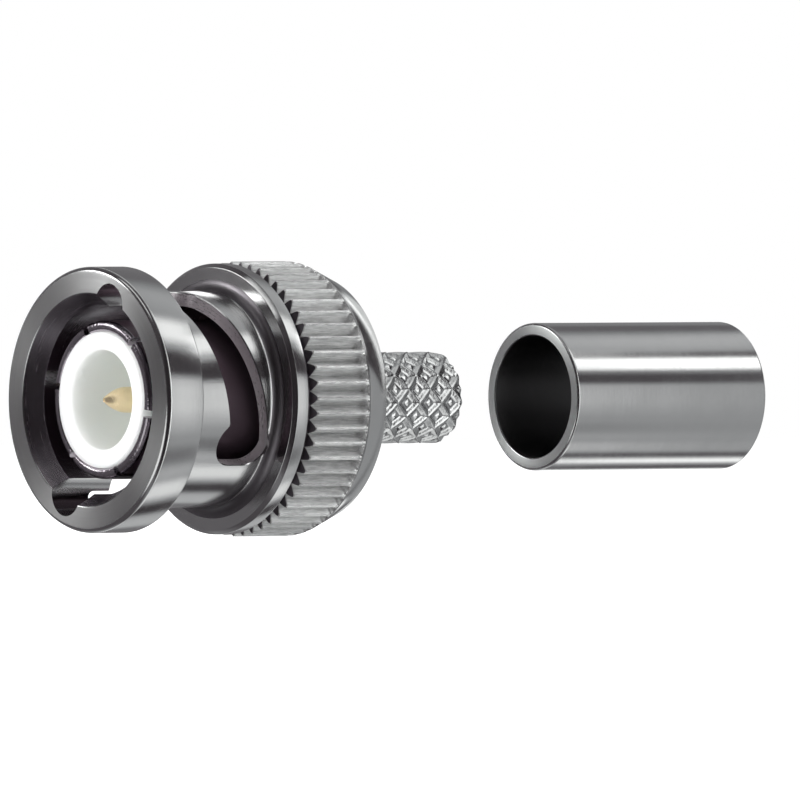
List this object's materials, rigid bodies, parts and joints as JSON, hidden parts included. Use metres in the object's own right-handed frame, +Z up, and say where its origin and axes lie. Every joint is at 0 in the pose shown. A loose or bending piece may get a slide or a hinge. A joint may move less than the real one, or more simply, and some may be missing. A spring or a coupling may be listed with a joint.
{
  "type": "bnc connector",
  "caption": "Crimp plug for coaxial cable: bayonet coupling nut with straight knurl, slotted outer contact, centre pin, diamond-knurled stem, and its crimp ferrule taken off.",
  "frame": {"origin": "centre of the coupling nut's front face, on the plug's axis", "axes": "+X along the plug's axis from the mating face to the cable end, +Z up"},
  "size_m": [0.042, 0.0142, 0.0142],
  "materials": {
    "nut_plating": "polished",
    "contact_plating": "polished",
    "stem_plating": "polished",
    "ferrule_plating": "polished",
    "gold_plating": "polished",
    "white_insulator": "satin",
    "gasket_rubber": "matte",
    "spring_metal": "satin"
  },
  "bodies": {
    "body": {"outer_contact": "contact_plating", "crimp_stem": "stem_plating", "front_insulator": "white_insulator", "rear_insulator": "white_insulator", "centre_contact": "gold_plating", "sealing_gasket": "gasket_rubber"},
    "spring_seat": {"retaining_ring": "spring_metal", "flat_washer": "spring_metal", "spring_washer_front": "spring_metal", "spring_washer_rear": "spring_metal"},
    "coupling": {"coupling_nut": "nut_plating"},
    "ferrule": {"crimp_ferrule": "ferrule_plating"}
  },
  "joints": [
    {"name": "coupling_slide", "type": "slide", "parent": "body", "child": "spring_seat", "axis": [1, 0, 0], "range_m": [-0.0009, 0], "stiffness_N_per_m": 12000, "deforming": ["spring_washer_front", "spring_washer_rear"]},
    {"name": "coupling_turn", "type": "hinge", "parent": "spring_seat", "child": "coupling", "pos_m": [0, 0, 0], "axis": [1, 0, 0], "continuous": true},
    {"name": "ferrule_slide", "type": "slide", "parent": "body", "child": "ferrule", "axis": [1, 0, 0], "range_m": [-0.01305, 0]}
  ]
}
